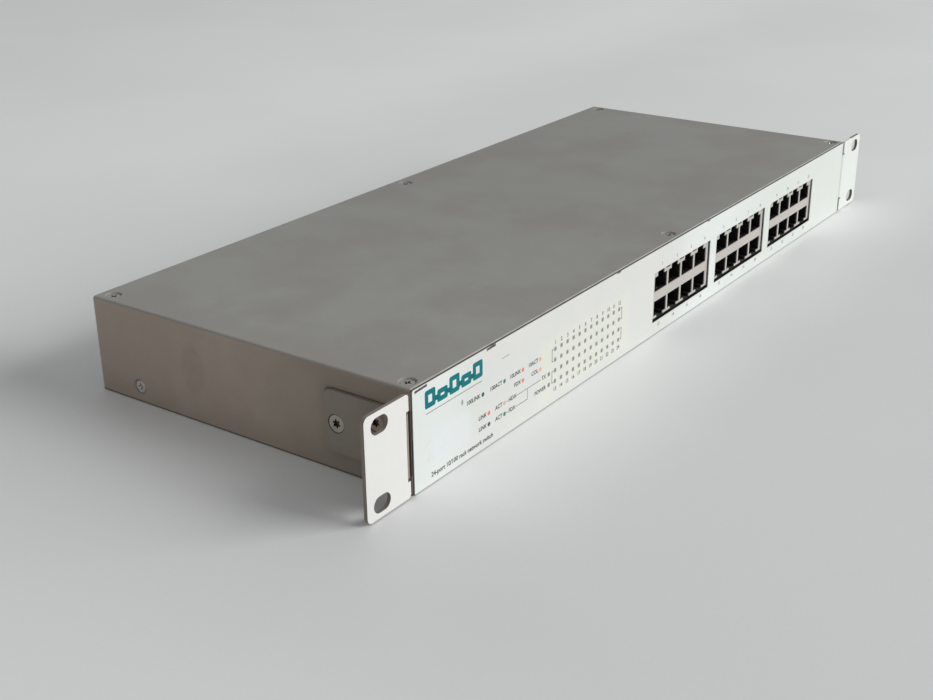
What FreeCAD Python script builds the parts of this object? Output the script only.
# Rackmount network switch, one rack unit high, with 24 stacked modular ports.
#
# Units are millimetres.  +X is to the right seen from the front, +Y runs from the front panel to
# the back, +Z is up.  Shapes are laid out with y = 0 on the face of the front label; save() moves
# them so that the origin is the centre of the flat underside.
import FreeCAD, Part
import math
import os

Vector = FreeCAD.Vector
AXIS_X, AXIS_Y, AXIS_Z = Vector(1, 0, 0), Vector(0, 1, 0), Vector(0, 0, 1)
SIDES = (-1, 1)           # left, right

# ---------------------------------------------------------------------------- driving sizes
# Pairs are from-to positions along the axis in the name.
BODY_W = 428.0            # over the cover's side walls
BODY_D = 173.5            # front label face to the back limit of the body
BODY_H = 44.2             # one rack unit less the gap between neighbours
HALF_W = BODY_W / 2
COVER_T = 0.8             # cover sheet
COVER_BEND_R = 1.3
COVER_Y = (0.60, BODY_D - 0.22)

BASE_T = 1.0              # base sheet
BASE_HALF_W = HALF_W - COVER_T - 0.3
BASE_TOP = BODY_H - COVER_T - 0.2
BASE_BEND_R, BASE_INNER_BEND_R = 1.3, 0.35
PANEL_Y0 = 0.30           # outer face of the base's front wall
BACK = BODY_D - 0.1       # outer face of the base's rear wall
SIDE_FLANGE_Y = (3.0, 168.0)
SIDE_FLANGE_H = 12.0
EAR_TAB_Y = (7.0, 46.0)   # taller tab on each side flange, behind the ear screws
EAR_TAB_H = 34.0
SIDE_CORNER_R = 3.0

RACK_W = 482.6            # 19 inch panel width over the ears
RACK_SLOT_X = 465.2       # centre distance of the ear slots, left to right
RACK_SLOT_Z = 31.75       # centre distance of the slots in one ear
EAR_T = 1.6               # ear sheet
EAR_Y0 = -0.05            # front face of the ear
EAR_Z0, EAR_H = 0.6, 43.0
EAR_SLOT_L, EAR_SLOT_W = 9.8, 6.8
EAR_FLANGE_D = 41.2       # where the flange along the side ends
EAR_FLANGE_Z = (8.9, 35.3)
EAR_BEND_R = 3.2          # outside radius of the ear's bend
EAR_SCREWS = ((16.2, 27.2), (35.7, 21.3))   # y and z of the two screws in each ear

TOP_SCREW_X = (-208.0, -1.0, 208.0)
TOP_SCREW_Y = (6.0, 166.9)
TOP_SCREWS = [(x, y) for y in TOP_SCREW_Y for x in TOP_SCREW_X]
SIDE_SCREW_Y, SIDE_SCREW_Z = 149.3, 7.1
# Cover screws: point on the cover's outer face and direction out of it
COVER_SCREWS = [((x, y, BODY_H), AXIS_Z) for x, y in TOP_SCREWS]
COVER_SCREWS += [((side * HALF_W, SIDE_SCREW_Y, SIDE_SCREW_Z), Vector(side, 0, 0))
                 for side in SIDES]
COVER_DIMPLE_R = 4.1      # rim of a pressed dimple in the cover
BASE_DIMPLE_HOLE_R = 4.7  # hole a base dimple is set into, just inside its rim
BOND_SCREW_X, BOND_SCREW_Z = 55.0, 41.0

LABEL_T = 0.28
LABEL_X = 213.2           # half width
LABEL_Z = (0.12, 43.45)

PORT_PITCH = 13.97        # modular jack pitch
BLOCK_X = (4.4, 71.2, 138.2)   # centres of the three port blocks
BLOCK_W = 59.2
BLOCK_Z = (8.1, 31.5)
BLOCK_Y = (1.0, 25.5)
CUTOUT_W = 59.8           # label opening round a block
CUTOUT_Z = (6.9, 32.2)
PORT_W = 12.4             # plug cavity width
PORT_H = 7.5              # plug cavity height without the latch keyway
KEY_W, KEY_H = 6.4, 2.6   # latch keyway, open through the block's edge
UPPER_FLOOR = 21.6        # contact side of the upper cavities
LOWER_ROOF = 16.7         # contact side of the lower cavities
PORT_DEPTH = 15.0         # back of the cavity
TROUGH_HALF_W = 4.2       # space for eight contacts
TROUGH_Y0 = 3.3
TROUGH_DEPTH = 1.45
PASSAGE_DEPTH = 0.9       # contact side to the near face of the tail passage
CONTACT_COUNT, CONTACT_PITCH = 8, 1.016
SPRING_PIVOT_Y = 4.3      # centre of the contact wire's front bend
SPRING_PIVOT_DROP = 0.85  # that centre's distance inside the contact bar
SPRING_BEND_R = 0.42
SPRING_LEN = 8.6
SPRING_REST = 20.0        # degrees off the cavity floor with no plug in
SPRING_T, SPRING_W = 0.30, 0.45
TAIL_DROP, TAIL_T = 1.25, 0.24
UPPER_TAIL_END, LOWER_TAIL_END = 27.4, 26.3   # rear faces of the tails' legs

LED_X0, LED_PITCH, LED_COLS = -113.9, 5.0, 12
LED_Z = [10.1 + row * LED_PITCH for row in range(4)]
STATUS_LED_X = LED_X0 - LED_PITCH
LED_WINDOW = 1.9
# x and row of every lamp; the status column has only the two lowest rows
LEDS = [(LED_X0 + column * LED_PITCH, row) for column in range(LED_COLS) for row in range(4)]
LEDS += [(STATUS_LED_X, row) for row in range(2)]

BOARD_Z = (6.3, 7.9)      # both circuit boards stand on the same pillars
BOARD_TOP = BOARD_Z[1]
BOARD_CORNER_R = 1.5
MAIN_X = (-126.0, 172.0)
MAIN_Y = (2.4, 122.0)
PSU_X = (-207.0, -141.0)
PSU_Y = (48.0, 148.0)
# x and y of the pillars
MAIN_HOLES = [(-121.5, 60.0), (-121.5, 117.0), (-28.0, 117.0), (40.0, 117.0),
              (166.5, 117.0), (166.5, 40.0), (-36.0, 30.0), (102.0, 48.0)]
PSU_HOLES = [(-202.0, 53.0), (-146.0, 53.0), (-202.0, 143.0), (-146.0, 143.0)]
LEAD_PITCH = 2.54         # through-hole leads and header pins

INLET_X, INLET_Z = -172.0, 22.6
INLET_Y = BACK + 0.02     # inlet flange's face on the rear wall
INLET_SCREW_X = [INLET_X + side * 20.0 for side in SIDES]
INLET_CHAMFER = 3.6       # lower corners of the inlet and its opening
INLET_POWER_PINS = [(INLET_X - 7.0, INLET_Z + 2.0), (INLET_X + 7.0, INLET_Z + 2.0)]   # x, z
INLET_EARTH_PIN = (INLET_X, INLET_Z - 2.2)
INLET_PINS = INLET_POWER_PINS + [INLET_EARTH_PIN]
STUD_X, STUD_Y = -128.0, 150.0
SHEET_TOP = BASE_T + 0.05  # underside of what rests on the floor


# ---------------------------------------------------------------------------- helpers
def box(x0, x1, y0, y1, z0, z1):
    return Part.makeBox(x1 - x0, y1 - y0, z1 - z0, Vector(x0, y0, z0))


def cylinder(start, axis, radius, length):
    return Part.makeCylinder(radius, length, Vector(*start), axis)


def cone(start, axis, radius, end_radius, length):
    return Part.makeCone(radius, end_radius, length, Vector(*start), axis)


def around(middle, half):
    return middle - half, middle + half


def on_side(side, near, far, middle=0.0):
    """The from-to pair lying near..far away from the middle, on one side of it."""
    return sorted((middle + side * near, middle + side * far))


def join(shapes):
    out = shapes[0].fuse(shapes[1:]) if len(shapes) > 1 else shapes[0]
    return out.removeSplitter()


def cut(shape, tools):
    return shape.cut(tools)


def middle_of(edge):
    return edge.CenterOfMass


def along(edge, axis):
    run = edge.Vertexes[-1].Point - edge.Vertexes[0].Point
    if run.Length < 1e-6:
        return False
    run.normalize()
    return abs(abs(run.dot(axis)) - 1) < 1e-6


def open_edges(shape, axis=None, where=None):
    """Edges with two ends that run along the axis and whose middle point passes where()."""
    return [edge for edge in shape.Edges if len(edge.Vertexes) == 2
            and (axis is None or along(edge, axis))
            and (where is None or where(middle_of(edge)))]


def fillet(shape, radius, axis=None, where=None):
    return shape.makeFillet(radius, open_edges(shape, axis, where))


def slot(x, z, length, width, y0, y1, upright=False):
    """A slot with round ends, cut through in Y; its length is along X, or Z if upright."""
    radius = width / 2.0
    half = (length - width) / 2.0
    dx, dz = (0, half) if upright else (half, 0)
    return join([box(*around(x, dx or radius), y0, y1, *around(z, dz or radius))]
                + [cylinder((x + side * dx, y0, z + side * dz), AXIS_Y, radius, y1 - y0)
                   for side in SIDES])


def polygon_face(points):
    return Part.Face(Part.makePolygon(points + points[:1]))


def turned(outline):
    """A closed (radius, z) outline turned about Z."""
    face = polygon_face([Vector(radius, 0, z) for radius, z in outline])
    return face.revolve(Vector(0, 0, 0), AXIS_Z, 360)


def place(shape, point, out):
    """Put a shape at the point with its own Z axis turned to the direction out."""
    copy = shape.copy()
    copy.Placement = FreeCAD.Placement(Vector(*point), FreeCAD.Rotation(AXIS_Z, out))
    return copy


def moved(shape, x=0.0, y=0.0, z=0.0):
    copy = shape.copy()
    copy.translate(Vector(x, y, z))
    return copy


def pipe(points, radius, bend):
    """A round wire along a polyline whose corners are bent at a radius."""
    edges = []
    corners = [Vector(*point) for point in points]
    start = corners[0]
    for before, corner, after in zip(corners, corners[1:], corners[2:]):
        backward = (before - corner).normalize()
        forward = (after - corner).normalize()
        half_angle = backward.getAngle(forward) / 2.0
        setback = bend / math.tan(half_angle)
        arc_start = corner + backward * setback
        arc_end = corner + forward * setback
        centre = corner + (backward + forward).normalize() * (bend / math.sin(half_angle))
        arc_middle = centre + (corner - centre).normalize() * bend
        edges.append(Part.makeLine(start, arc_start))
        edges.append(Part.Arc(arc_start, arc_middle, arc_end).toShape())
        start = arc_end
    edges.append(Part.makeLine(start, corners[-1]))
    ring = Part.Wire(Part.makeCircle(radius, corners[0], corners[1] - corners[0]))
    return Part.Wire(edges).makePipeShell([ring], True, False)


os.makedirs("parts", exist_ok=True)


def save(name, shapes):
    """Write one shape or a list of shapes as one STEP file, moved to the final origin."""
    if not isinstance(shapes, list):
        shapes = [shapes]
    solids = [solid for shape in shapes for solid in shape.Solids]
    for solid in solids:
        if not solid.isValid() or solid.Volume <= 0:
            raise SystemExit(name + ": a solid is not valid")
    solids = [moved(solid, y=-BODY_D / 2.0) for solid in solids]
    whole = solids[0] if len(solids) == 1 else Part.makeCompound(solids)
    whole.exportStep(os.path.join("parts", name + ".step"))


# ---------------------------------------------------------------------------- pressed dimples
# (radius, z) outlines; z = 0 is the cover's outer face, +Z points out of it.
COVER_DIMPLE = turned([
    (3.7, 0), (2.95, -0.75), (1.7, -1.95), (1.7, -2.45), (2.1, -2.45), (3.3, -1.35),
    (COVER_DIMPLE_R, -COVER_T), (COVER_DIMPLE_R, 0)])
BASE_DIMPLE = turned([
    (4.5, -1.0), (3.4, -1.6), (2.2, -2.75), (1.53, -2.75), (1.53, -5.4), (2.5, -5.4),
    (2.5, -3.3), (3.9, -2.0), (4.9, -2.0), (4.9, -1.0)])


# ---------------------------------------------------------------------------- screws and nuts
# Built on the Z axis with +Z pointing out of the head.
def cross_recess(z, width, depth):
    half_slot = 0.36
    bottom = z - depth
    return join([
        box(-width / 2, width / 2, -half_slot, half_slot, bottom, z + 1),
        box(-half_slot, half_slot, -width / 2, width / 2, bottom, z + 1),
        cone((0, 0, bottom - 0.35), AXIS_Z, 0.15, 0.95, depth + 0.36)])


def flat_screw():
    """M3 countersunk screw, its head sunk in the dimple; z = 0 is the cover's face."""
    head_r, shank_r = 2.82, 1.46
    body = join([cylinder((0, 0, -0.80), AXIS_Z, head_r, 0.16),
                 cone((0, 0, -2.12), AXIS_Z, shank_r, head_r, 1.32),
                 cylinder((0, 0, -7.5), AXIS_Z, shank_r, 5.5),
                 cone((0, 0, -8.0), AXIS_Z, 1.05, shank_r, 0.5)])
    return cut(body, [cross_recess(-0.64, 3.3, 0.8)])


def pan_screw(head_r, head_h, shank_r, length, recess_w):
    """A pan-head cross-recess screw; z = 0 is under the head."""
    tip_h = 0.4
    head = cylinder((0, 0, 0), AXIS_Z, head_r, head_h)
    rim = [edge for edge in head.Edges
           if abs(middle_of(edge).z - head_h) < 1e-6 and len(edge.Vertexes) == 1]
    head = head.makeFillet(head_h * 0.55, rim)
    body = join([head,
                 cylinder((0, 0, -length + tip_h), AXIS_Z, shank_r, length - tip_h + 0.1),
                 cone((0, 0, -length), AXIS_Z, shank_r - 0.35, shank_r, tip_h)])
    return cut(body, [cross_recess(head_h, recess_w, min(1.0, head_h * 0.55))])


def ear_screw():
    """M4 countersunk screw with a six-lobe recess; z = 0 is the ear's outer face."""
    head_r, shank_r = 3.65, 1.95
    body = join([cone((0, 0, -1.89), AXIS_Z, shank_r, head_r, 1.49),
                 cylinder((0, 0, -0.40), AXIS_Z, head_r, 0.06),
                 cylinder((0, 0, -9.0), AXIS_Z, shank_r, 7.2),
                 cone((0, 0, -9.5), AXIS_Z, 1.5, shank_r, 0.5)])
    recess_z, recess_h, lobe_ring_r = -1.65, 2.0, 1.45
    recess = [cylinder((0, 0, recess_z), AXIS_Z, 1.28, recess_h)]
    for k in range(6):
        angle = math.radians(60 * k + 12)
        centre = (lobe_ring_r * math.cos(angle), lobe_ring_r * math.sin(angle), recess_z)
        recess.append(cylinder(centre, AXIS_Z, 0.50, recess_h))
    return cut(body, [join(recess)])


def inlet_screw():
    """Countersunk cross-recess screw; z = 0 is the inlet flange's outer face."""
    head_r, shank_r = 3.1, 1.5
    body = join([cone((0, 0, -1.70), AXIS_Z, shank_r, head_r, 1.60),
                 cylinder((0, 0, -0.1), AXIS_Z, head_r, 0.08),
                 cylinder((0, 0, -10.0), AXIS_Z, shank_r, 8.4)])
    return cut(body, [cross_recess(-0.02, 3.4, 0.9)])


def hex_nut(corner_r, height, bore_r):
    angles = [math.radians(60 * k) for k in range(6)]
    face = polygon_face([Vector(corner_r * math.cos(angle), corner_r * math.sin(angle), 0)
                         for angle in angles])
    return cut(face.extrude(Vector(0, 0, height)),
               [cylinder((0, 0, -1), AXIS_Z, bore_r, height + 2)])


# ---------------------------------------------------------------------------- base chassis
def inlet_prism(half_w, half_h, y0, y1, chamfer):
    """A block round the inlet's centre with its two lower corners cut off."""
    prism = box(*around(INLET_X, half_w), y0, y1, *around(INLET_Z, half_h))
    lower = open_edges(prism, AXIS_Y, lambda middle: middle.z < INLET_Z)
    return prism.makeChamfer(chamfer, lower)


def base_sheet():
    """Floor, front wall, rear wall, the two top flanges and the side flanges."""
    width = around(0, BASE_HALF_W)
    through = around(0, BASE_HALF_W + 1)
    outer = fillet(box(*width, PANEL_Y0, BACK, 0, BASE_TOP), BASE_BEND_R, AXIS_X)
    inner = fillet(box(*through, PANEL_Y0 + BASE_T, BACK - BASE_T, BASE_T, BASE_TOP - BASE_T),
                   BASE_INNER_BEND_R, AXIS_X)
    top_opening = box(*through, 13.2, BACK - 13.0, BASE_TOP - 3, BASE_TOP + 1)
    sheet = cut(outer, [inner, top_opening])
    # the top flanges stop short of the cover's side walls
    sheet = cut(sheet, [
        box(*on_side(side, BASE_HALF_W - 1.6, BASE_HALF_W + 1),
            PANEL_Y0 + BASE_T + 0.4, BACK - BASE_T - 0.4, 36.0, BASE_TOP + 1)
        for side in SIDES])
    flanges = []
    for side in SIDES:
        x_span = on_side(side, BASE_HALF_W - BASE_T, BASE_HALF_W)
        for y_span, height in ((SIDE_FLANGE_Y, SIDE_FLANGE_H), (EAR_TAB_Y, EAR_TAB_H)):
            flanges.append(fillet(box(*x_span, *y_span, 0.0, height), SIDE_CORNER_R, AXIS_X,
                                  lambda middle: middle.z > height - 1))
    sheet = join([sheet] + flanges)
    # round the bend between the floor and each side flange
    bends = []
    for side in SIDES:
        corner = box(*on_side(side, BASE_HALF_W - BASE_T, BASE_HALF_W + 0.5),
                     *SIDE_FLANGE_Y, -0.5, BASE_T)
        bends.append(corner.cut(
            cylinder((side * (BASE_HALF_W - BASE_T), 2.0, BASE_T), AXIS_Y, BASE_T, 168)))
    return cut(sheet, bends)


def add_screw_seats(sheet):
    """Set in the cover screws' dimples and a round boss behind each ear screw."""
    holes = [cylinder((x, y, BASE_TOP - BASE_T - 0.2), AXIS_Z, BASE_DIMPLE_HOLE_R, 2.0)
             for x, y in TOP_SCREWS]
    seats = [place(BASE_DIMPLE, (x, y, BODY_H), AXIS_Z) for x, y in TOP_SCREWS]
    for side in SIDES:
        out = Vector(side, 0, 0)
        holes.append(cylinder((side * 211.0, SIDE_SCREW_Y, SIDE_SCREW_Z), out,
                              BASE_DIMPLE_HOLE_R, 3.0))
        seats.append(place(BASE_DIMPLE, (side * HALF_W, SIDE_SCREW_Y, SIDE_SCREW_Z), out))
        for y, z in EAR_SCREWS:
            seats.append(cylinder((side * 209.4, y, z), out, 3.3, 3.0))
    return join([cut(sheet, holes)] + seats)


def base_holes():
    holes = [cylinder((side * 208.0, y, z), Vector(side, 0, 0), 2.0, 6.0)
             for side in SIDES for y, z in EAR_SCREWS]
    for x in BLOCK_X:
        # the wall is cut back behind the label's edge all round the ports
        holes.append(fillet(box(*around(x, CUTOUT_W / 2 + 0.5), -1, 2.2,
                                CUTOUT_Z[0] - 0.9, CUTOUT_Z[1] + 0.3), 0.3, AXIS_Y))
    for x, row in LEDS:
        holes.append(cylinder((x, -1, LED_Z[row]), AXIS_Y, 1.62, 3.5))
    for x, y in MAIN_HOLES + PSU_HOLES:
        holes.append(cylinder((x, y, -1), AXIS_Z, 2.62, 3.0))
    holes.append(cylinder((STUD_X, STUD_Y, -1), AXIS_Z, 2.72, 3.0))
    # rear wall: power inlet and its screws, cooling slots, bonding screw
    wall = (BACK - 2, BACK + 1)
    holes.append(inlet_prism(13.8, 10.1, *wall, INLET_CHAMFER))
    for x in INLET_SCREW_X:
        holes.append(cylinder((x, wall[0], INLET_Z), AXIS_Y, 1.7, 3.0))
    for k in range(10):
        for first_x in (-114.0, 114.0):
            holes.append(slot(first_x + 6.0 * k, 22.0, 22.0, 2.6, *wall, upright=True))
    holes.append(cylinder((BOND_SCREW_X, wall[0], BOND_SCREW_Z), AXIS_Y, 1.6, 3.0))
    # the rear flange is notched where the cover's bonding tab passes
    holes.append(box(*around(BOND_SCREW_X, 8), 150, 172.3, 34.0, BODY_H))
    return holes


save("base_chassis", cut(add_screw_seats(base_sheet()), base_holes()))


# ---------------------------------------------------------------------------- top cover
def top_cover():
    outer = fillet(box(-HALF_W, HALF_W, *COVER_Y, 0.15, BODY_H), COVER_BEND_R,
                   AXIS_Y, lambda middle: middle.z > 40)
    inner = fillet(box(*around(0, HALF_W - COVER_T), -2, BODY_D + 2, -1, BODY_H - COVER_T),
                   COVER_BEND_R - COVER_T, AXIS_Y, lambda middle: middle.z > 40)
    cover = cut(outer, [inner])
    holes = [cylinder((x, y, BODY_H - COVER_T - 0.1), AXIS_Z, COVER_DIMPLE_R, 2.0)
             for x, y in TOP_SCREWS]
    for side in SIDES:
        out = Vector(side, 0, 0)
        holes.append(cylinder((side * (HALF_W - COVER_T - 0.1), SIDE_SCREW_Y, SIDE_SCREW_Z),
                              out, COVER_DIMPLE_R, 2.0))
        for y, z in EAR_SCREWS:
            holes.append(cylinder((side * 212.0, y, z), out, 2.4, 3.0))
    cover = cut(cover, holes)
    # a tab folded down inside the rear wall takes the bonding screw
    tab_back = BACK - BASE_T - 0.2
    tab = fillet(box(*around(BOND_SCREW_X, 7), tab_back - COVER_T, tab_back,
                     35.5, BODY_H - COVER_T + 0.3),
                 2.5, AXIS_Y, lambda middle: middle.z < 36)
    dimples = [place(COVER_DIMPLE, point, out) for point, out in COVER_SCREWS]
    cover = join([cover, tab] + dimples)
    return cut(cover, [cylinder((BOND_SCREW_X, 170, BOND_SCREW_Z), AXIS_Y, 1.55, 2.4)])


save("top_cover", top_cover())


# ---------------------------------------------------------------------------- front label
def front_overlay():
    label = fillet(box(-LABEL_X, LABEL_X, 0, LABEL_T, *LABEL_Z), 0.8, AXIS_Y)
    holes = [fillet(box(*around(x, CUTOUT_W / 2), -1, 1, *CUTOUT_Z), 0.3, AXIS_Y)
             for x in BLOCK_X]
    for x, row in LEDS:
        window = box(*around(x, LED_WINDOW / 2), -1, 1, *around(LED_Z[row], LED_WINDOW / 2))
        holes.append(fillet(window, 0.45, AXIS_Y))
    return cut(label, holes)


save("front_overlay", front_overlay())


# ---------------------------------------------------------------------------- rack ears
def rack_ear():
    """The left ear: a front plate bent back into a flange that lies on the cover's side."""
    inner_x = -HALF_W
    outer_x = inner_x - EAR_T
    bend_x, bend_y = inner_x - EAR_BEND_R, EAR_Y0 + EAR_BEND_R
    z0, z1 = EAR_FLANGE_Z
    plate = box(-RACK_W / 2, inner_x, EAR_Y0, EAR_Y0 + EAR_T, EAR_Z0, EAR_Z0 + EAR_H)
    flange = fillet(box(outer_x, inner_x, EAR_Y0, EAR_FLANGE_D, z0, z1), 3.2, AXIS_X,
                    lambda middle: middle.y > 40)
    ear = join([plate, flange])

    def bend_cylinder(radius):
        return cylinder((bend_x, bend_y, z0 - 1), AXIS_Z, radius, z1 - z0 + 2)

    outside_bend = box(bend_x, inner_x + 1, EAR_Y0 - 1, bend_y, z0 - 0.01, z1 + 0.01).cut(
        bend_cylinder(EAR_BEND_R))
    inside_bend = box(bend_x, outer_x, EAR_Y0 + EAR_T, bend_y, z0, z1).cut(
        bend_cylinder(EAR_BEND_R - EAR_T))
    ear = join([ear, inside_bend])
    # clear the plate above and below the flange, with a small notch at each end of the bend
    relief = (outer_x, inner_x + 1, EAR_Y0 - 1, 6)
    notch = (outer_x - 1.5, inner_x + 1, EAR_Y0 - 1, EAR_Y0 + 3.2)
    ear = cut(ear, [outside_bend, box(*relief, -1, z0), box(*relief, z1, 60),
                    box(*notch, z0 - 1.3, z0), box(*notch, z1, z1 + 1.3)])
    ear = fillet(ear, 2.6, AXIS_Y, lambda middle: middle.x < -RACK_W / 2 + 0.5)
    ear = fillet(ear, 1.7, AXIS_Y, lambda middle: abs(middle.x - outer_x) < 0.1
                 and (middle.z < 1.0 or middle.z > 43.0))
    middle_z = EAR_Z0 + EAR_H / 2
    holes = [slot(-RACK_SLOT_X / 2, middle_z + side * RACK_SLOT_Z / 2,
                  EAR_SLOT_L, EAR_SLOT_W, EAR_Y0 - 1, EAR_Y0 + 3) for side in SIDES]
    for y, z in EAR_SCREWS:
        holes.append(cone((outer_x, y, z), AXIS_X, 4.15, 2.35, EAR_T))
        holes.append(cylinder((outer_x - 0.5, y, z), AXIS_X, 2.35, 3.0))
    return cut(ear, holes)


left_ear = rack_ear()
save("rack_ear_left", left_ear)
save("rack_ear_right", left_ear.mirror(Vector(0, 0, 0), AXIS_X))

# ---------------------------------------------------------------------------- case screws
save("ear_screws", [place(ear_screw(), (side * (HALF_W + EAR_T), y, z), Vector(side, 0, 0))
                    for side in SIDES for y, z in EAR_SCREWS])
save("cover_screws", [place(flat_screw(), point, out) for point, out in COVER_SCREWS])
save("rear_bond_screw", place(pan_screw(2.85, 2.0, 1.45, 6.5, 3.2),
                              (BOND_SCREW_X, BACK + 0.02, BOND_SCREW_Z), AXIS_Y))


# ---------------------------------------------------------------------------- port blocks
def port_centres(block_x):
    return [block_x + (k - 1.5) * PORT_PITCH for k in range(4)]


def contact_centres(block_x):
    return [x + (k - (CONTACT_COUNT - 1) / 2) * CONTACT_PITCH
            for x in port_centres(block_x) for k in range(CONTACT_COUNT)]


def jack_block(block_x):
    body = box(*around(block_x, BLOCK_W / 2), *BLOCK_Y, *BLOCK_Z)
    front = BLOCK_Y[0] - 1
    upper_top = UPPER_FLOOR + PORT_H
    lower_bottom = LOWER_ROOF - PORT_H
    tools = []
    for x in port_centres(block_x):
        cavity = (*around(x, PORT_W / 2), front, PORT_DEPTH)
        keyway = (*around(x, KEY_W / 2), front, PORT_DEPTH)
        trough = (*around(x, TROUGH_HALF_W), TROUGH_Y0, PORT_DEPTH)
        passage = (*around(x, TROUGH_HALF_W), PORT_DEPTH - 0.1, BLOCK_Y[1] + 1)
        # plug cavities: the upper keyway points up and the lower one down
        tools += [box(*cavity, UPPER_FLOOR, upper_top),
                  box(*keyway, upper_top - 0.1, upper_top + KEY_H),
                  box(*cavity, lower_bottom, LOWER_ROOF),
                  box(*keyway, lower_bottom - KEY_H, lower_bottom + 0.1)]
        # troughs the contact springs fold into, and the passages their tails leave by
        tools += [box(*trough, UPPER_FLOOR - TROUGH_DEPTH, UPPER_FLOOR + 0.1),
                  box(*trough, LOWER_ROOF - 0.1, LOWER_ROOF + TROUGH_DEPTH),
                  box(*passage, UPPER_FLOOR - TROUGH_DEPTH, UPPER_FLOOR - PASSAGE_DEPTH),
                  box(*passage, LOWER_ROOF + PASSAGE_DEPTH, LOWER_ROOF + TROUGH_DEPTH)]
    for k in range(3):
        # small moulding pockets in the top edge between neighbouring keyways
        x = block_x + (k - 1) * PORT_PITCH + 0.3
        tools.append(box(*around(x, 2.1), front, 5.0, BLOCK_Z[1] - 0.85, BLOCK_Z[1] + 1))
    return cut(body, tools)


def contact_spring(rest_angle):
    """A sprung arm, its bend centred on the origin, reaching back along +Y."""
    half_w = SPRING_W / 2
    arm = box(-half_w, half_w, 0, SPRING_LEN, -SPRING_T / 2, SPRING_T / 2)
    tip = cylinder((-half_w, SPRING_LEN, 0.0), AXIS_X, SPRING_T / 2, SPRING_W)
    bend = cylinder((-half_w, 0, 0), AXIS_X, SPRING_BEND_R, SPRING_W)
    spring = join([arm, tip, bend])
    spring.rotate(Vector(0, 0, 0), AXIS_X, rest_angle)
    return spring


def contact_tail(z, y_end):
    """The fixed part of a contact: along the trough, out at the back, down to the board."""
    half_w = SPRING_W / 2
    top = z + TAIL_T / 2
    flat = box(-half_w, half_w, SPRING_PIVOT_Y + 0.55, y_end, z - TAIL_T / 2, top)
    leg = box(-half_w, half_w, y_end - TAIL_T, y_end, BOARD_TOP + 0.02, top)
    return join([flat, leg])


# row name, spring at rest, height of its bend
SPRING_ROWS = (
    ("upper", contact_spring(SPRING_REST), UPPER_FLOOR - SPRING_PIVOT_DROP),
    ("lower", contact_spring(-SPRING_REST), LOWER_ROOF + SPRING_PIVOT_DROP))
TAILS = (contact_tail(UPPER_FLOOR - TAIL_DROP, UPPER_TAIL_END),
         contact_tail(LOWER_ROOF + TAIL_DROP, LOWER_TAIL_END))
for number, block_x in enumerate(BLOCK_X, 1):
    save("jack_block_%d" % number, jack_block(block_x))
    for row_name, spring, z in SPRING_ROWS:
        save("contact_springs_%s_%d" % (row_name, number),
             [moved(spring, x, SPRING_PIVOT_Y, z) for x in contact_centres(block_x)])
    save("contact_tails_%d" % number,
         [moved(tail, x) for tail in TAILS for x in contact_centres(block_x)])


# ---------------------------------------------------------------------------- indicator lamps
def led_holder():
    last_x = LED_X0 + (LED_COLS - 1) * LED_PITCH
    holder = fillet(box(STATUS_LED_X - 2.4, last_x + 2.4, 1.9, 7.6, BOARD_TOP + 0.02, 27.6),
                    0.6, AXIS_Y)
    return cut(holder, [cylinder((x, 0, LED_Z[row]), AXIS_Y, 1.56, 9) for x, row in LEDS])


def lamp(row):
    """A domed lamp at x = 0; the legs of higher rows turn down farther back."""
    radius, dome_y, rim_y, half_leg = 1.5, 2.1, 7.7, 0.22
    z = LED_Z[row]
    dome = Part.makeSphere(radius, Vector(0, dome_y, z)).common(
        box(-2, 2, 0, dome_y, z - 2, z + 2))
    barrel = cylinder((0, dome_y, z), AXIS_Y, radius, rim_y - dome_y)
    rim = cylinder((0, rim_y, z), AXIS_Y, 1.8, 0.8)
    leg_y = 9.4 + 1.5 * row
    leg_back = leg_y + 2 * half_leg
    legs = []
    for side in SIDES:
        x_span = around(side * LEAD_PITCH / 2, half_leg)
        legs.append(box(*x_span, 8.3, leg_back, *around(z, half_leg)))
        legs.append(box(*x_span, leg_y, leg_back, BOARD_TOP + 0.02, z + 0.2))
    return join([dome, barrel, rim] + legs)


save("led_holder", led_holder())
lamps = [lamp(row) for row in range(4)]
save("led_lamps", [moved(lamps[row], x) for x, row in LEDS])


# ---------------------------------------------------------------------------- circuit boards
def board(x_span, y_span, pillars):
    plate = fillet(box(*x_span, *y_span, *BOARD_Z), BOARD_CORNER_R, AXIS_Z)
    return plate, [cylinder((x, y, 0), AXIS_Z, 1.7, 12) for x, y in pillars]


def board_pillar():
    pillar = join([cylinder((0, 0, 0.0), AXIS_Z, 2.60, 1.1),
                   cylinder((0, 0, 1.01), AXIS_Z, 3.2, BOARD_Z[0] - 1.03)])
    return cut(pillar, [cylinder((0, 0, 1.4), AXIS_Z, 1.55, 9)])


main_plate, main_holes = board(MAIN_X, MAIN_Y, MAIN_HOLES)
save("main_board", cut(main_plate, main_holes))
psu_plate, psu_holes = board(PSU_X, PSU_Y, PSU_HOLES)
# a slot in front of the rear heatsink keeps the mains side apart from the low-voltage side
save("psu_board", cut(psu_plate, psu_holes + [box(-176, -150, 92.0, 94.0, 0, 12)]))
save("board_pillars", [moved(board_pillar(), x, y) for x, y in MAIN_HOLES + PSU_HOLES])
save("board_screws", [moved(pan_screw(2.8, 1.9, 1.5, 5.6, 3.1), x, y, BOARD_TOP + 0.02)
                      for x, y in MAIN_HOLES + PSU_HOLES])
insulator = fillet(box(-210.0, -138.5, 46.5, 149.0, SHEET_TOP, 1.4), 2.0, AXIS_Z)
save("insulating_sheet", cut(insulator, [cylinder((x, y, 0), AXIS_Z, 3.5, 3)
                                         for x, y in PSU_HOLES]))


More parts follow.
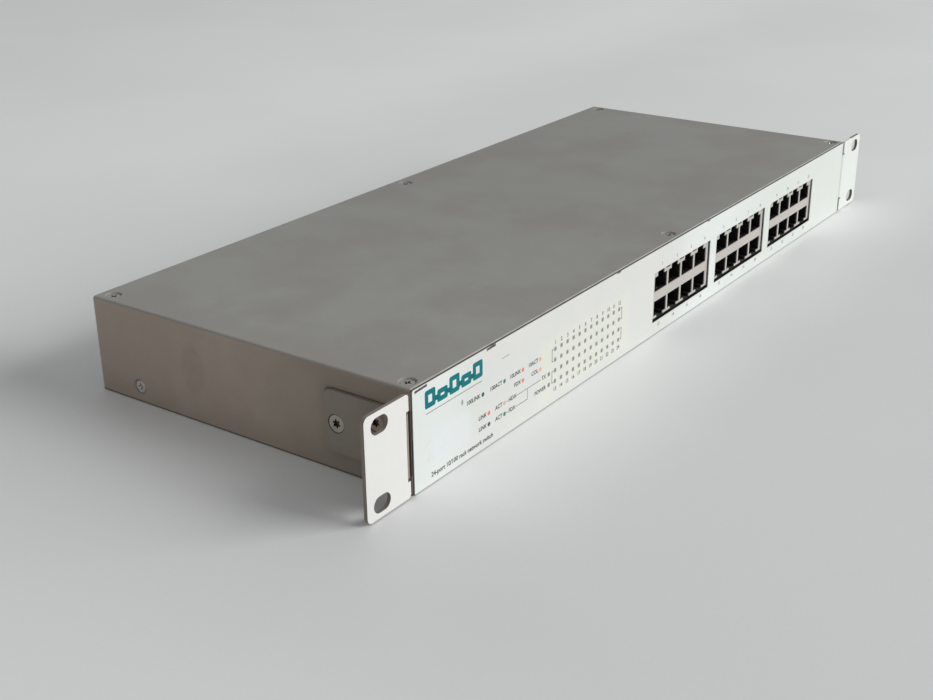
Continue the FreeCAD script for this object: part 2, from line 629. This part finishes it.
# ---------------------------------------------------------------------------- main board parts
def on_board(x0, x1, y0, y1, bottom, top):
    """A box whose heights are measured from the top of the circuit boards."""
    return box(x0, x1, y0, y1, BOARD_TOP + bottom, BOARD_TOP + top)


def flat_pack(x, y, size_x, size_y, height, legs_x, legs_y, pitch):
    """A flat package; legs_x legs line its front and back, legs_y its left and right."""
    body = on_board(*around(x, size_x / 2), *around(y, size_y / 2), 0.25, height)
    body = body.makeChamfer(0.25, open_edges(body, AXIS_Z))
    legs = []
    for k in range(legs_x):
        leg_x = x + (k - (legs_x - 1) / 2.0) * pitch
        for side in SIDES:
            reach = on_side(side, size_y / 2 - 0.2, size_y / 2 + 1.5, y)
            legs.append(on_board(*around(leg_x, pitch * 0.22), *reach, 0.02, 0.32))
    for k in range(legs_y):
        leg_y = y + (k - (legs_y - 1) / 2.0) * pitch
        for side in SIDES:
            reach = on_side(side, size_x / 2 - 0.2, size_x / 2 + 1.5, x)
            legs.append(on_board(*reach, *around(leg_y, pitch * 0.22), 0.02, 0.32))
    return join([body] + legs)


def can(x, y, radius, height):
    """An upright electrolytic capacitor with its crimp groove and base."""
    body = cylinder((x, y, BOARD_TOP + 0.03), AXIS_Z, radius, height)
    groove_start = (x, y, BOARD_TOP + height * 0.14)
    groove = cylinder(groove_start, AXIS_Z, radius + 1, 0.8).cut(
        cylinder(groove_start, AXIS_Z, radius - 0.35, 0.8))
    body = cut(body, [groove])
    top = BOARD_TOP + 0.03 + height
    return body.makeFillet(0.35, [edge for edge in body.Edges
                                  if abs(middle_of(edge).z - top) < 1e-6])


def heatsink():
    x0, pitch, thickness, y_span = 54.4, 3.77, 1.2, (81.2, 108.8)
    fins = [on_board(x0 + pitch * k, x0 + thickness + pitch * k, *y_span, 5.5, 15.0)
            for k in range(8)]
    return join([on_board(x0, 82.0, *y_span, 3.63, 5.6)] + fins)


def voltage_regulator():
    legs = [on_board(-89.9 + LEAD_PITCH * k, -89.2 + LEAD_PITCH * k, 87.5, 92.2, 0.02, 0.5)
            for k in range(3)]
    return join([on_board(-92, -82, 92, 101.2, 0.02, 4.5),
                 on_board(-92, -82, 101.0, 104.0, 0.02, 1.3)] + legs)


CHIP_SHIFT = -3.3         # transformers and phy chips from their port block's centre
CHIP_ROW_Y = 95.0         # switch chip and memories
SMALL_CANS = ((-20, 60), (-20, 72), (34, 72), (102, 72), (150, 80), (150, 96))   # x, y
LARGE_CANS = ((-100, 60), (-100, 74), (-58, 96), (-58, 110))

save("port_transformers",
     [flat_pack(x + side * 14.3 + CHIP_SHIFT, 39.0, 25.4, 11.0, 6.0, 16, 0, 1.52)
      for x in BLOCK_X for side in SIDES])
save("phy_chips", [flat_pack(x + CHIP_SHIFT, 63.0, 20.0, 14.0, 2.9, 19, 13, 1.0)
                   for x in BLOCK_X])
save("switch_chip", flat_pack(68.19, CHIP_ROW_Y, 28.0, 28.0, 3.6, 26, 26, 1.0))
save("switch_chip_heatsink", heatsink())
save("buffer_memories", [flat_pack(x, CHIP_ROW_Y, 18.4, 10.2, 1.2, 14, 0, 1.27)
                         for x in (20.0, 118.0)])
save("clock_crystal", fillet(on_board(-2, 9.4, 76, 80.6, 0.05, 3.6), 2.25, AXIS_Z))
save("main_board_capacitors", [can(x, y, 3.15, 8.0) for x, y in SMALL_CANS]
     + [can(x, y, 5.0, 13.0) for x, y in LARGE_CANS])
save("voltage_regulator", voltage_regulator())


# ---------------------------------------------------------------------------- power supply
def transformer_core():
    """Two yokes joined by three limbs, cut back at the front and rear."""
    y_span = (66.0, 88.0)
    limbs = [on_board(*x_span, *y_span, 5.9, 22.2)
             for x_span in ((-192, -186.4), (-167.6, -162), (-181.4, -172.6))]
    core = join([on_board(-192, -162, *y_span, 0.6, 6.2),
                 on_board(-192, -162, *y_span, 21.8, 27.4)] + limbs)
    return cut(core, [on_board(-193, -161, 60, 71.0, -1, 30),
                      on_board(-193, -161, 83.0, 95, -1, 30)])


def transformer_winding():
    outer = fillet(on_board(-186.2, -167.8, 66.2, 87.8, 6.3, 21.7), 3.0, AXIS_Z)
    return cut(outer, [on_board(-181.5, -172.5, 70.9, 83.1, 0, 30)])


def psu_heatsinks():
    """Two upright plates, each with its top edge bent over."""
    upright, lip = (0.1, 26.0), (24.2, 26.0)
    return [join([on_board(-152.0, -150.2, 64.0, 90.0, *upright),
                  on_board(-152.0, -143.0, 64.0, 90.0, *lip)]),
            join([on_board(-180.0, -160.0, 98.0, 99.8, *upright),
                  on_board(-180.0, -160.0, 98.0, 107.0, *lip)])]


def power_device(x, y, facing):
    """A tab-mounted device whose front faces the given angle in degrees from +X."""
    legs = [on_board(*around(LEAD_PITCH * k, 0.4), 2.0, 2.5, 0.02, 4.6) for k in (-1, 0, 1)]
    device = join([on_board(-5.0, 5.0, 0.02, 1.3, 7.0, 22.0),
                   on_board(-5.0, 5.0, 0.02, 4.4, 4.5, 13.5)] + legs)
    device = cut(device, [cylinder((0, -1, BOARD_TOP + 18.5), AXIS_Y, 1.8, 4)])
    device.rotate(Vector(0, 0, 0), AXIS_Z, facing - 90)
    device.translate(Vector(x, y, 0))
    return device


def line_filter_choke():
    ring = Part.makeTorus(6.8, 3.4, Vector(-160, 133, BOARD_TOP + 5.0), AXIS_Z)
    seat = fillet(on_board(-171, -149, 122.5, 143.5, 0.05, 1.4), 2.0, AXIS_Z)
    # room for the board screw's head
    return [ring, cut(seat, [cylinder((*PSU_HOLES[3], 0), AXIS_Z, 3.4, 40)])]


def disc_capacitor(x):
    disc = cylinder((x, 116.5, BOARD_TOP + 5.5), AXIS_Y, 4.0, 2.6)
    return join([disc] + [on_board(*on_side(side, 2.3, 2.8, x), 117.5, 118.0, 0.03, 4.0)
                          for side in SIDES])


def bridge_rectifier():
    legs = [on_board(-182.6 + 2.73 * k, -181.9 + 2.73 * k, 117.5, 118.2, 0.03, 3.4)
            for k in range(4)]
    return join([on_board(-184.0, -173.0, 116.0, 119.6, 3.2, 14.0)] + legs)


FUSE_Y, FUSE_Z = 136.0, BOARD_TOP + 4.6


def mains_fuse():
    return [cylinder((-197.5, FUSE_Y, FUSE_Z), AXIS_X, 2.5, 17.0),
            cylinder((-197.52, FUSE_Y, FUSE_Z), Vector(-1, 0, 0), 2.6, 2.4),
            cylinder((-180.48, FUSE_Y, FUSE_Z), AXIS_X, 2.6, 2.4)]


def fuse_clip(x):
    clip = on_board(x, x + 2.0, *around(FUSE_Y, 3.4), 0.03, 7.0)
    return cut(clip, [cylinder((x - 1, FUSE_Y, FUSE_Z), AXIS_X, 2.62, 5),
                      on_board(x - 1, x + 3, *around(FUSE_Y, 1.6), 4, 8),
                      on_board(x - 1, x + 3, *around(FUSE_Y, 2.8), 0.8, 2.0)])


save("transformer_core", transformer_core())
save("transformer_winding", transformer_winding())
save("mains_capacitor", can(-193.5, 107.5, 9.0, 30.0))
save("output_capacitors", [can(-184.0, 57.0, 4.0, 14.0), can(-172.5, 57.0, 5.0, 18.0),
                           can(-160.5, 57.0, 5.0, 18.0)])
save("psu_heatsinks", psu_heatsinks())
save("power_semiconductors", [power_device(-152.0, 77.0, facing=180),
                              power_device(-170.0, 99.8, facing=90)])
save("line_filter_choke", line_filter_choke())
block_capacitor = fillet(on_board(-204, -186, 119.0, 127.0, 0.05, 14.0), 0.8, AXIS_Z)
save("suppression_capacitors",
     [block_capacitor, disc_capacitor(-154.0), disc_capacitor(-164.5)])
save("bridge_rectifier", bridge_rectifier())
save("mains_fuse", mains_fuse())
save("fuse_clips", [fuse_clip(x) for x in (-199.9, -180.3)])


# ---------------------------------------------------------------------------- power inlet
def mains_inlet():
    """A moulded appliance inlet screwed to the outside of the rear wall."""
    face_y = INLET_Y + 3.0
    flange = fillet(box(*around(INLET_X, 25.0), INLET_Y, face_y, *around(INLET_Z, 11.3)),
                    6.0, AXIS_Y)
    flange = fillet(flange, 0.6, where=lambda middle: abs(middle.y - face_y) < 1e-6)
    shroud = inlet_prism(13.6, 9.9, INLET_Y - 18.0, INLET_Y + 0.5, INLET_CHAMFER)
    tools = [inlet_prism(12.1, 8.3, INLET_Y - 14.0, INLET_Y + 6, 3.9)]
    for x, z in INLET_PINS:
        tools.append(box(*around(x, 1.02), INLET_Y - 19, INLET_Y - 10, *around(z, 2.02)))
    for x in INLET_SCREW_X:
        tools.append(cylinder((x, INLET_Y - 1, INLET_Z), AXIS_Y, 1.75, 6))
        tools.append(cone((x, INLET_Y + 1.2, INLET_Z), AXIS_Y, 1.75, 3.4, 1.81))
    return cut(join([flange, shroud]), tools)


save("mains_inlet", mains_inlet())
save("inlet_pins", [box(*around(x, 1.0), INLET_Y - 22.5, INLET_Y - 0.5, *around(z, 2.0))
                    for x, z in INLET_PINS])
save("inlet_screws", [place(inlet_screw(), (x, INLET_Y + 3.0, INLET_Z), AXIS_Y)
                      for x in INLET_SCREW_X])
save("inlet_nuts", [place(hex_nut(3.1, 2.4, 1.55), (x, BACK - BASE_T - 0.03, INLET_Z),
                          Vector(0, -1, 0)) for x in INLET_SCREW_X])


# ---------------------------------------------------------------------------- mains wiring
def pin_sleeve(x, z, half_h):
    return cut(box(*around(x, 1.9), INLET_Y - 23.2, INLET_Y - 18.4, *around(z, half_h)),
               [box(*around(x, 1.05), INLET_Y - 22.6, INLET_Y - 17, *around(z, 2.05))])


def mains_wire(x, z):
    """Live or neutral: from an inlet pin down to the supply board."""
    drop_y = 145.2
    wire = pipe([(x, INLET_Y - 23.1, z), (x, drop_y, z), (x, drop_y, BOARD_TOP + 0.05)],
                1.0, 2.6)
    return join([pin_sleeve(x, z, 2.9), wire])


def earth_wire():
    """From the inlet's lowest pin down and across to a lug on the stud."""
    x, z = INLET_EARTH_PIN
    wire_y, run_z = INLET_Y - 23.65, 5.2
    wire = pipe([(x, wire_y, z - 0.2), (x, wire_y, run_z), (STUD_X - 6.0, STUD_Y, run_z)],
                1.0, 2.4)
    lug_z = (SHEET_TOP, SHEET_TOP + 0.8)
    lug = join([cylinder((STUD_X, STUD_Y, SHEET_TOP), AXIS_Z, 4.2, 0.8),
                box(STUD_X - 8.5, STUD_X - 3.0, *around(STUD_Y, 1.6), *lug_z),
                box(STUD_X - 9.2, STUD_X - 5.6, *around(STUD_Y, 1.5), SHEET_TOP, 6.6)])
    lug = cut(lug, [cylinder((STUD_X, STUD_Y, 0), AXIS_Z, 2.1, 5)])
    return join([pin_sleeve(x, z, 2.6), wire, lug])


save("mains_wires", [mains_wire(x, z) for x, z in INLET_POWER_PINS])
save("earth_wire", earth_wire())
save("earth_stud", join([cylinder((STUD_X, STUD_Y, 0.0), AXIS_Z, 2.7, 1.0),
                         cylinder((STUD_X, STUD_Y, 0.9), AXIS_Z, 2.0, 10.1)]))
save("earth_nut", moved(hex_nut(4.04, 3.2, 2.05), STUD_X, STUD_Y, 1.9))

# ---------------------------------------------------------------------------- low-voltage harness
# Four wires between a plug on each board.
HARNESS_X = (-146.5, -119.0)
HARNESS_Y = 104.0
HARNESS_PIN_Y = [HARNESS_Y + (k - 1.5) * LEAD_PITCH for k in range(4)]


def harness_header(x):
    shell = cut(on_board(*around(x, 3.0), *around(HARNESS_Y, 7.0), 0.03, 5.0),
                [on_board(*around(x, 2.3), *around(HARNESS_Y, 6.3), 1.2, 6)])
    return join([shell] + [on_board(*around(x, 0.32), *around(y, 0.32), 1.0, 4.4)
                           for y in HARNESS_PIN_Y])


def harness_plug(x):
    body = on_board(*around(x, 2.2), *around(HARNESS_Y, 6.2), 1.3, 9.0)
    sockets = [on_board(*around(x, 0.5), *around(y, 0.5), 0, 5.0) for y in HARNESS_PIN_Y]
    wire_holes = [cylinder((x, y, BOARD_TOP + 6.5), AXIS_Z, 0.82, 3) for y in HARNESS_PIN_Y]
    return cut(body, sockets + wire_holes)


def harness_wire(y):
    left, right = HARNESS_X
    end_z, arch_z = BOARD_TOP + 6.6, BOARD_TOP + 17.5
    return pipe([(left, y, end_z), (left, y, arch_z), (right, y, arch_z), (right, y, end_z)],
                0.8, 6.0)


save("harness_headers", [harness_header(x) for x in HARNESS_X])
save("harness_plugs", [harness_plug(x) for x in HARNESS_X])
save("power_harness", [harness_wire(y) for y in HARNESS_PIN_Y])
